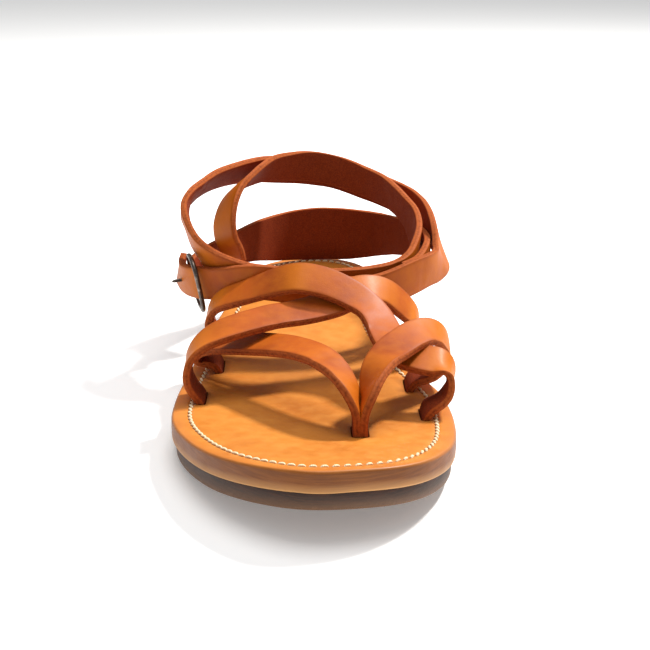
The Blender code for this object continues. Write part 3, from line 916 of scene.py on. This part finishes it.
@dataclass
class Strap:
    """A leather strap swept through its stations."""

    name: str
    stations: list[Station]
    creases: tuple[Crease, ...] = ()
    step: float = 1.1 * MM
    crown: float = 0.14 * MM
    edge: float = 0.42 * MM
    ripple: float = 7 * MM
    lump: float = 0.05 * MM
    columns: int = 12

    def run(self) -> list[Station]:
        """Close, evened stations along the strap."""
        first = self.mirrored(self.stations[1], self.stations[0])
        last = self.mirrored(self.stations[-2], self.stations[-1])
        ends = [first, *self.stations, last]
        close = []
        for a, b, c, d in zip(ends, ends[1:], ends[2:], ends[3:]):
            pieces = max(2, ceil((c.centre - b.centre).length / self.step))
            for i in range(pieces):
                close.append(Station(*(blend(*four, i / pieces) for four in zip(a, b, c, d))))
        close.append(self.stations[-1])
        for _ in range(3):
            inner = [
                Station(*((before + 2 * here + after) / 4 for before, here, after in zip(p, q, r)))
                for p, q, r in zip(close, close[1:], close[2:])
            ]
            close = [close[0], *inner, close[-1]]
        return close

    @staticmethod
    def mirrored(inner: Station, end: Station) -> Station:
        """The station as far beyond the end as the inner one is before it."""
        return Station(*(2 * e - i for i, e in zip(inner, end)))

    def section(self) -> list[tuple[float, float, float, float, float]]:
        """The points round the strap: share across, corner across, up, edge mark, inner mark."""
        deep = STRAP_THICKNESS / 2
        outline = []
        for side, lean in ((Side.OUTER, 1), (Side.INNER, -1)):
            for k in range(self.columns + 1):
                share = lean * (1 - 2 * k / self.columns)
                outline.append((share, 0.0, side.value * deep, 0.0, (1 - side.value) / 2))
            for angle in (60, 30, 0, -30, -60):
                out = -lean * self.edge * cos(radians(angle))
                up = side.value * sin(radians(angle))
                half = (angle > 0) - (angle < 0)
                level = side.value * (deep - self.edge) * half
                mark = 1 - abs(angle) / 90
                outline.append((-lean, out, level + up * self.edge, mark, 0.5 - level / deep / 2))
        return outline

    def build(self) -> bpy.types.Object:
        """Makes the strap.

        Returns:
            The strap as one closed mesh.
        """
        run = self.run()
        lengths = [0.0]
        for a, b in zip(run, run[1:]):
            lengths.append(lengths[-1] + (b.centre - a.centre).length)
        total = lengths[-1]
        count = len(run)
        aheads = []
        for i in range(count):
            before, after = run[max(i - 2, 0)], run[min(i + 2, count - 1)]
            aheads.append((after.centre - before.centre).normalized())
        skin = Skin(self.name)
        outline = self.section()
        seed = Vector((sum(map(ord, self.name)) * 0.37, 0, 0))
        for i, station in enumerate(run):
            ahead = aheads[i]
            face = (station.face - ahead * station.face.dot(ahead)).normalized()
            side = face.cross(ahead)
            low, high = max(i - 3, 0), min(i + 3, count - 1)
            bend = (aheads[low] - aheads[high]).dot(face) / max(lengths[high] - lengths[low], MM)
            pull = ease(bend * 16 * MM)
            flat = station.width / 2 - self.edge
            for share, corner, up, edge, inner in outline:
                where = Vector((lengths[i] / self.ripple, share * 0.8, inner)) + seed
                wave = noise.noise(where)
                across = share * flat * (1 + 0.012 * wave) + corner
                lift = self.crown * (1 - share * share) * (1 - 2 * inner) * (1 - edge)
                lift += self.lump * noise.noise(where * 2.3) * (1 - edge)
                for crease in self.creases:
                    off = lengths[i] - crease.at * total - crease.slant * share * flat
                    dent = crease.depth * exp(-((off / crease.width) ** 2))
                    lift -= dent * (1 - 2 * inner) * (1 - edge)
                point = station.centre + side * across + face * (up + lift)
                layer = up / STRAP_THICKNESS
                skin.add(point, across=share, edge=edge, inner=inner, layer=layer, pull=pull)
        skin.loft(count, len(outline))
        return skin.finish(50)


@dataclass
class Sole:
    """The plan and the heights that both layers share."""

    steps: int = 150

    @staticmethod
    def toe_rise(along: float) -> float:
        """How far the toe springs up."""
        return TOE_SPRING * min(max((along - TOE_START) / TOE_RUN, 0.0), 1.0) ** 2

    def outsole_top(self, along: float) -> float:
        """The top of the lower layer."""
        heel = HEEL_LIFT * ease((HEEL_END - along) / HEEL_RUN)
        return OUTSOLE_THICKNESS + self.toe_rise(along) + heel

    def outsole_bottom(self, along: float) -> float:
        """The tread: flat under the heel and the ball."""
        arch = ease((along - ARCH_START) / ARCH_IN) * ease((ARCH_END - along) / ARCH_OUT)
        return self.toe_rise(along) + ARCH_LIFT * arch

    def insole_bottom(self, along: float) -> float:
        """The underside of the upper layer."""
        return self.outsole_top(along) + LAYER_GAP

    def insole_top(self, along: float) -> float:
        """The top of the upper layer."""
        return self.insole_bottom(along) + INSOLE_THICKNESS

    def outline(self) -> list[Vector]:
        """The wall's closed outline: down the medial side from the toe, and up the lateral side."""
        sides = []
        for rows, other in ((MEDIAL_EDGE, LATERAL_EDGE), (LATERAL_EDGE, MEDIAL_EDGE)):
            closed = (other[0], TOE_TIP, *rows, HEEL_TIP, other[-1])
            points = [Vector(place(row.across, row.along)) for row in closed]
            fine = self.curve(points, LENGTH / 900)
            first = min(range(len(fine)), key=lambda i: (fine[i] - points[1]).length)
            last = min(range(len(fine)), key=lambda i: (fine[i] - points[-2]).length)
            sides.append(self.spread(fine[first : last + 1], self.steps + 1))
        medial, lateral = sides
        return self.inset(medial + lateral[-2:0:-1], -INSOLE_EDGE_ROUND)

    @staticmethod
    def curve(points: list[Vector], step: float) -> list[Vector]:
        """Points about one step apart on a smooth curve through the given points."""
        ends = [2 * points[0] - points[1], *points, 2 * points[-1] - points[-2]]
        close = []
        for a, b, c, d in zip(ends, ends[1:], ends[2:], ends[3:]):
            pieces = max(1, round((c - b).length / step))
            close.extend(blend(a, b, c, d, i / pieces) for i in range(pieces))
        close.append(points[-1].copy())
        return close

    @staticmethod
    def spread(points: list[Vector], count: int) -> list[Vector]:
        """The given number of points, evenly spread along a line of points."""
        lengths = [0.0]
        for a, b in zip(points, points[1:]):
            lengths.append(lengths[-1] + (b - a).length)
        spread = []
        part = 0
        for i in range(count):
            wanted = lengths[-1] * i / (count - 1)
            while part < len(points) - 2 and lengths[part + 1] < wanted:
                part += 1
            span = lengths[part + 1] - lengths[part]
            spread.append(points[part].lerp(points[part + 1], (wanted - lengths[part]) / span))
        return spread

    @staticmethod
    def inset(loop: list[Vector], distance: float) -> list[Vector]:
        """The closed loop, moved inwards by a distance."""
        moved = []
        for i, point in enumerate(loop):
            ahead = loop[(i + 1) % len(loop)] - loop[i - 1]
            moved.append(point + Vector((-ahead.y, ahead.x)).normalized() * distance)
        return moved

    def layer(self, name: str, levels: Sequence[tuple], columns: int = 22) -> Skin:
        """One layer of the sole.

        Args:
            name: The piece's name.
            levels: Rings from the tread up: an inset, a height at a share of the length and marks.
            columns: How many columns its flat sides have between the two edges.

        Returns:
            The layer's points and faces.
        """
        outline = self.outline()
        count = len(outline)
        skin = Skin(name)
        rings = []
        for inset, height, marks in levels:
            ring = []
            for point in self.inset(outline, inset):
                ring.append(skin.add(Vector((*point, height(along_of(point.y)))), **marks))
            rings.append(ring)
        for lower, upper in zip(rings, rings[1:]):
            for i in range(count):
                j = (i + 1) % count
                skin.faces.append((lower[i], lower[j], upper[j], upper[i]))
        for ring, (_, height, marks) in ((rings[0], levels[0]), (rings[-1], levels[-1])):
            rows = [[ring[0]] * (columns + 1)]
            for i in range(1, self.steps):
                right, left = skin.points[ring[i]], skin.points[ring[count - i]]
                row = [ring[i]]
                for k in range(1, columns):
                    spot = right.lerp(left, k / columns)
                    level = height(along_of(spot.y))
                    row.append(skin.add(Vector((spot.x, spot.y, level)), **marks))
                rows.append([*row, ring[count - i]])
            rows.append([ring[self.steps]] * (columns + 1))
            for upper_row, lower_row in zip(rows, rows[1:]):
                for k in range(columns):
                    corners = (upper_row[k], upper_row[k + 1], lower_row[k + 1], lower_row[k])
                    skin.faces.append(tuple(dict.fromkeys(corners)))
        return skin


@dataclass
class Outsole(Sole):
    """The dark lower layer."""

    edge: float = 0.8 * MM

    def build(self) -> bpy.types.Object:
        """Makes the layer."""
        low, high, edge = self.outsole_bottom, self.outsole_top, self.edge
        # The foot marks, 1 at the tread and 0 at the top, set where the finish paints light on the
        # layer.
        levels = (
            (OUTSOLE_INSET + edge, low, {"foot": 1.0}),
            (OUTSOLE_INSET + edge * 0.3, lambda along: low(along) + edge * 0.3, {"foot": 1.0}),
            (OUTSOLE_INSET, lambda along: low(along) + edge, {"foot": 0.8}),
            (
                OUTSOLE_INSET - 0.1 * MM,
                lambda along: (low(along) + high(along)) / 2,
                {"foot": 0.28},
            ),
            (OUTSOLE_INSET, lambda along: high(along) - 0.9 * MM, {"foot": 0.0}),
            (OUTSOLE_INSET + 0.4 * MM, lambda along: high(along) + LAYER_GAP * 0.8, {"foot": 0.0}),
        )
        return self.layer("outsole_dressed", levels).finish(60)


@dataclass
class Insole(Sole):
    """The thick tan layer, with its stitch groove and strap slots."""

    edge: float = 1.0 * MM
    groove: float = 0.3 * MM

    def build(self) -> bpy.types.Object:
        """Makes the layer and cuts its slots."""
        low, high, edge = self.insole_bottom, self.insole_top, self.edge
        # The foot marks set where the finish paints a highlight along the foot of the wall.
        levels = [
            (0.6 * MM, low, {"wall": 1.0, "foot": 1.0}),
            (0.15 * MM, lambda along: low(along) + 0.25 * MM, {"wall": 1.0, "foot": 1.0}),
            (0.0, lambda along: low(along) + 0.7 * MM, {"wall": 1.0, "foot": 0.6}),
            (
                -0.1 * MM,
                lambda along: low(along) * 0.55 + high(along) * 0.45,
                {"wall": 1.0, "foot": 0.0},
            ),
            (0.0, lambda along: high(along) - edge, {"wall": 1.0, "foot": 0.0}),
        ]
        for angle in (25, 50, 72):
            inset = edge * (1 - cos(radians(angle)))
            drop = edge * (1 - sin(radians(angle)))
            marks = {"wall": 1 - angle / 90, "foot": 0.0}
            levels.append((inset, lambda along, drop=drop: high(along) - drop, marks))
        flat = {"wall": 0.0, "foot": 0.0}
        levels.append((edge, high, flat))
        levels.append((edge + 1.2 * MM, high, flat))
        for off, depth in GROOVE_PROFILE:
            sunk = depth * self.groove
            levels.append(
                (STITCH_INSET + off * MM, lambda along, sunk=sunk: high(along) - sunk, flat)
            )
        skin = self.layer("insole_dressed", levels)
        piece = skin.finish()
        self.cut_slots(piece)
        self.mark(piece)
        return piece

    def slots(self) -> list[Slot]:
        """Every slot."""
        return [slot for start, _, end in WEAVE.values() for slot in (start, end)]

    def cut_slots(self, piece: bpy.types.Object) -> None:
        """Cuts the slots into the layer's mesh."""
        cutters = Skin("slot_cutters")
        for slot in self.slots():
            x, y = place(slot.across, slot.along)
            half = STRAP_THICKNESS / 2 + SLOT_CLEARANCE
            long = STRAP_WIDTH / 2 + SLOT_CLEARANCE
            top = self.insole_top(slot.along)
            for z in (top - SLOT_DEPTH, top + SLOT_OVER):
                for k in range(SLOT_CORNERS):
                    angle = 2 * pi * k / SLOT_CORNERS
                    round_x = half * cos(angle)
                    round_y = (long - half) * (1 if sin(angle) > 0 else -1) + half * sin(angle)
                    cutters.add(Vector((x + round_x, y + round_y, z)))
            cutters.loft(2, SLOT_CORNERS)
        cutter = cutters.finish()
        cut = piece.modifiers.new("slots", "BOOLEAN")
        cut.operation = "DIFFERENCE"
        cut.object = cutter
        cut.solver = "EXACT"
        cut.use_self = True
        view = bpy.context.evaluated_depsgraph_get()
        piece.data = bpy.data.meshes.new_from_object(piece.evaluated_get(view))
        piece.modifiers.clear()
        bpy.data.objects.remove(cutter)
        smooth(piece.data, 50)

    def mark(self, piece: bpy.types.Object) -> None:
        """Writes how far each point lies from the edge and how near it is to a slot."""
        mesh = piece.data
        points = np.empty(len(mesh.vertices) * 3, np.float32)
        mesh.vertices.foreach_get("co", points)
        points = points.reshape(-1, 3)
        rim = np.array([tuple(p) for p in self.outline()], np.float32)
        rim = np.concatenate([rim, (rim + np.roll(rim, 1, axis=0)) / 2])
        inset = np.sqrt(((points[:, None, :2] - rim[None]) ** 2).sum(2)).min(1)
        # How near each point is to a slot: the finish paints shade there.
        near = np.zeros(len(points), np.float32)
        for slot in self.slots():
            x, y = place(slot.across, slot.along)
            over = np.maximum(np.abs(points[:, 1] - y) - STRAP_WIDTH / 2, 0)
            away = np.hypot(np.maximum(np.abs(points[:, 0] - x) - STRAP_THICKNESS / 2, 0), over)
            near = np.maximum(near, np.clip(1 - away / (1.8 * MM), 0, 1))
        for name, values in (("inset", inset), ("slot", near)):
            if name in mesh.attributes:
                mesh.attributes.remove(mesh.attributes[name])
            written = mesh.attributes.new(name, "FLOAT", "POINT")
            written.data.foreach_set("value", values.astype(np.float32))


@dataclass
class Stitching(Sole):
    """The seam round the insole: slanted stitches, each a short bow of thread."""

    pitch: float = 3.3 * MM
    length: float = 2.7 * MM
    radius: float = 0.52 * MM
    slant: float = 22
    proud: float = 0.14 * MM
    dip: float = 0.62 * MM

    def build(self) -> bpy.types.Object:
        """Makes all the stitches in one mesh."""
        loop = self.inset(self.outline(), STITCH_INSET)
        around = [*loop, loop[0]]
        total = sum((b - a).length for a, b in zip(around, around[1:]))
        count = round(total / self.pitch)
        spots = self.spread(around, count * 2 + 1)
        skin = Skin("insole_stitches")
        for i in range(count):
            a, middle, b = spots[2 * i], spots[2 * i + 1], spots[2 * i + 2]
            ahead = (b - a).normalized()
            wobble = noise.noise(Vector((middle.x * 900, middle.y * 900, 0)))
            ahead.rotate(Matrix.Rotation(radians(self.slant + 5 * wobble), 2))
            self.bow(skin, middle, ahead, self.length * (1 + 0.07 * wobble))
        return skin.finish()

    def bow(self, skin: Skin, middle: Vector, ahead: Vector, length: float) -> None:
        """Adds one stitch.

        Args:
            skin: What it is added to.
            middle: Its middle on the plan.
            ahead: Its direction on the plan.
            length: Its length.
        """
        beside = Vector((-ahead.y, ahead.x, 0))
        rings, ring = 9, 8
        for i in range(rings):
            share = -1 + 2 * i / (rings - 1)
            spot = middle + ahead * (share * length / 2)
            top = self.insole_top(along_of(spot.y)) + self.proud - self.dip * share**4
            radius = self.radius * sqrt(max(1 - (abs(share) ** 3) * 0.9, 0.04))
            for k in range(ring):
                angle = 2 * pi * k / ring
                off = beside * (radius * cos(angle)) + Vector((0, 0, radius * 0.8 * sin(angle)))
                skin.add(Vector((*spot, top)) + off, twist=share * 2.4 + angle / pi / 2)
        skin.loft(rings, ring)


@dataclass
class InstepWeave(Sole):
    """The four crossed strips of the upper."""

    creases: dict[str, tuple[Crease, ...]] = field(default_factory=lambda: INSTEP_CREASES)

    def slot_stations(self, slot: Slot) -> list[Station]:
        """The straight end of a strip in its slot, from the deep end up."""
        x, y = place(slot.across, slot.along)
        top = self.insole_top(slot.along)
        heights = (top - STRAP_SINK, top - STRAP_SINK / 2, top + FIT_GAP)
        face = face_direction(slot.turn, 0)
        return [Station(Vector((x, y, z)), face, STRAP_WIDTH) for z in heights]

    def fold_station(self, fold: Fold) -> Station:
        """A station above the insole."""
        x, y = place(fold.across, fold.along)
        z = self.insole_top(fold.along) + fold.rise * INSTEP_HEIGHT
        return Station(Vector((x, y, z)), face_direction(fold.turn, fold.lift), STRAP_WIDTH)

    def build(self) -> list[bpy.types.Object]:
        """Makes the strips."""
        strips = []
        for name, (start, folds, end) in WEAVE.items():
            stations = self.slot_stations(start)
            stations += [self.fold_station(fold) for fold in folds]
            stations += self.slot_stations(end)[::-1]
            strips.append(Strap(name, stations, self.creases.get(name, ())).build())
        return strips


def turn_station(turn: "Turn | Band", width: float) -> Station:
    """A station above the floor."""
    x, y = place(turn.across, turn.along)
    centre = Vector((x, y, turn.height * ANKLE_HEIGHT))
    return Station(centre, face_direction(turn.turn, turn.lift), width)


@dataclass
class AnkleStrap:
    """The long strap that winds round the ankle."""

    creases: tuple[Crease, ...] = ()

    def strap(self) -> Strap:
        """The strap before it is made."""
        stations = [turn_station(turn, ANKLE_STRAP_WIDTH) for turn in ANKLE_WINDING]
        return Strap("ankle_strap_dressed", stations, self.creases)

    def build(self) -> bpy.types.Object:
        """Makes the strap."""
        return self.strap().build()

    def from_end(self, distance: float) -> Station:
        """The station at a distance from the end at the buckle."""
        run = self.strap().run()[::-1]
        for a, b in zip(run, run[1:]):
            length = (b.centre - a.centre).length
            if length >= distance:
                share = distance / length
                face = a.face.lerp(b.face, share).normalized()
                return Station(a.centre.lerp(b.centre, share), face, a.width)
            distance -= length
        return run[-1]


@dataclass
class HeelBand:
    """The broad band behind the heel."""

    creases: tuple[Crease, ...] = ()

    def build(self) -> bpy.types.Object:
        """Makes the band."""
        stations = [turn_station(row, row.width * BAND_WIDTH) for row in HEEL_BAND]
        band = Strap("heel_band_dressed", stations, self.creases, crown=0.2 * MM, columns=20)
        return band.build()


@dataclass
class Buckle:
    """The wire buckle and its prong."""

    strap: AnkleStrap
    sides: int = 20

    def axes(self) -> tuple[Vector, Vector, Vector]:
        """The middle of the buckle, the way to its front rim and the way up."""
        offset = STRAP_THICKNESS / 2 + FIT_GAP + BUCKLE_ROOM + BUCKLE_WIRE / 2
        front = self.strap.from_end(BUCKLE_FRONT)
        bar = self.strap.from_end(BUCKLE_BAR)
        rim = front.centre + front.face * (offset + BUCKLE_RIM_ROOM)
        back = bar.centre - bar.face * offset
        forward = rim - back
        upward = (front.face + bar.face).cross(forward).normalized()
        if upward.z < 0:
            upward.negate()
        return (rim + back) / 2 - upward * BUCKLE_DROP, forward, upward

    def wire(
        self, name: str, points: list[Vector], radius: float, closed: bool = False
    ) -> bpy.types.Object:
        """A round wire along a line of points, with a domed end where it is open.

        Args:
            name: The piece's name.
            points: The line.
            radius: The wire's radius.
            closed: Whether the line is a loop.

        Returns:
            The wire.
        """
        count = len(points)
        skin = Skin(name)
        up = None
        for i, point in enumerate(points):
            before = points[i - 1] if closed else points[max(i - 1, 0)]
            after = points[(i + 1) % count if closed else min(i + 1, count - 1)]
            ahead = (after - before).normalized()
            up = ahead.orthogonal() if up is None else up
            up = (up - ahead * up.dot(ahead)).normalized()
            side = ahead.cross(up)
            size = radius * (1 + 0.03 * noise.noise(point * 700))
            if not closed:
                size *= sqrt(1 - 0.75 * max(0.0, 1 - (count - 1 - i) / 2) ** 2)
            for k in range(self.sides):
                angle = 2 * pi * k / self.sides
                skin.add(point + (up * cos(angle) + side * sin(angle)) * size)
        skin.loft(count, self.sides, closed)
        return skin.finish(60)

    def build_frame(self) -> bpy.types.Object:
        """Makes the rounded frame."""
        middle, forward, upward = self.axes()
        half_length = forward.length / 2
        half_height = (BUCKLE_HEIGHT - BUCKLE_WIRE) / 2
        ahead = forward.normalized()
        corners = []
        for right, top, start in ((1, 1, 0), (-1, 1, 90), (-1, -1, 180), (1, -1, 270)):
            for step in range(13):
                angle = radians(start + 7.5 * step)
                x = right * (half_length - BUCKLE_CORNER) + BUCKLE_CORNER * cos(angle)
                y = top * (half_height - BUCKLE_CORNER) + BUCKLE_CORNER * sin(angle)
                corners.append(middle + ahead * x + upward * y)
        return self.wire("buckle_frame_dressed", corners, BUCKLE_WIRE / 2, closed=True)

    def build_prong(self) -> bpy.types.Object:
        """Makes the prong: a hook round the back bar, then straight out through the strap."""
        middle, forward, upward = self.axes()
        centre = middle - forward / 2
        outward = self.strap.from_end(BUCKLE_BAR).face
        ahead = upward.cross(outward).normalized()
        if ahead.dot(forward) < 0:
            ahead.negate()
        radius = BUCKLE_WIRE / 2 + FIT_GAP + PRONG_WIRE / 2
        path = []
        for angle in map(radians, range(0, 181, 10)):
            path.append(centre - (ahead * cos(angle) + outward * sin(angle)) * radius)
        path += [path[-1] + outward * (PRONG_REACH * k / 10) for k in range(1, 11)]
        return self.wire("buckle_prong_dressed", path, PRONG_WIRE / 2)


@dataclass(frozen=True)
class Lamp:
    """A soft square light that points at the shoe."""

    name: str
    spot: Point
    size: float
    power: float
    tint: Colour = (1, 1, 1)

    def build(self, target: Vector) -> None:
        """Makes the light."""
        data = bpy.data.lights.new(self.name, "AREA")
        data.shape = "SQUARE"
        data.size = self.size
        data.energy = self.power
        data.color = self.tint
        lamp = bpy.data.objects.new(self.name, data)
        lamp.location = self.spot
        lamp.rotation_euler = (target - Vector(self.spot)).to_track_quat("-Z", "Y").to_euler()
        bpy.context.scene.collection.objects.link(lamp)


@dataclass
class Studio:
    """The floor, the light and the camera."""

    eye: Point = (0.00183, -0.54524, 0.16824)
    azimuth: float = 0.504
    pitch: float = 17.57
    lens: float = 71.05
    sky: float = 0.4
    reach: float = 30
    aim: Point = (0, -0.08, 0.03)
    lamps: tuple[Lamp, ...] = (
        Lamp("key", (0.66, 0.50, 1.15), 0.16, 30, (1, 0.98, 0.94)),
        Lamp("top", (0.05, 0.05, 1.5), 0.9, 11),
    )

    def build(self) -> None:
        """Sets the scene up."""
        floor = Skin("floor")
        for x, y in ((-1, -1), (1, -1), (1, 1), (-1, 1)):
            floor.add(Vector((x * self.reach, y * self.reach, -0.1 * MM)))
        floor.faces.append((0, 1, 2, 3))
        ground = floor.finish()
        ground.data.materials.append(PaleFloor().material())
        ground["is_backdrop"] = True
        for lamp in self.lamps:
            lamp.build(Vector(self.aim))
        world = bpy.data.worlds.new("studio")
        world.use_nodes = True
        background = world.node_tree.nodes["Background"]
        background.inputs["Color"].default_value = (1, 1, 1, 1)
        background.inputs["Strength"].default_value = self.sky
        bpy.context.scene.world = world
        bpy.context.scene.view_settings.view_transform = "Standard"
        data = bpy.data.cameras.new("camera")
        data.sensor_width = 36
        data.lens = self.lens
        camera = bpy.data.objects.new("camera", data)
        camera.location = self.eye
        turn, dip = radians(self.azimuth), radians(self.pitch)
        look = Vector((sin(turn) * cos(dip), cos(turn) * cos(dip), -sin(dip)))
        camera.rotation_euler = look.to_track_quat("-Z", "Y").to_euler()
        bpy.context.scene.collection.objects.link(camera)
        bpy.context.scene.camera = camera


def write_sizes() -> None:
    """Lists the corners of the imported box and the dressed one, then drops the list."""
    [[list(corner) for corner in box] for box in (packed_box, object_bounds())]


def main() -> None:
    """Builds every piece and the studio."""
    logging.basicConfig(level=logging.INFO)
    orange = StrapLeather().material()
    tan = InsoleLeather().material()
    brown = SoleLeather().material()
    steel = DarkSteel().material()
    thread = Thread().material()
    fit(Outsole().build(), "outsole", brown)
    fit(Insole().build(), "insole", tan)
    fit(Stitching().build(), None, thread)
    for strip in InstepWeave().build():
        fit(strip, "instep_straps", orange)
    ankle = AnkleStrap(ANKLE_CREASES)
    fit(ankle.build(), "ankle_strap", orange)
    fit(HeelBand(BAND_CREASES).build(), "heel_band", orange)
    buckle = Buckle(ankle)
    fit(buckle.build_frame(), "buckle_frame", steel)
    fit(buckle.build_prong(), "buckle_prong", steel)
    Studio().build()
    write_sizes()


if __name__ == "__main__":
    main()
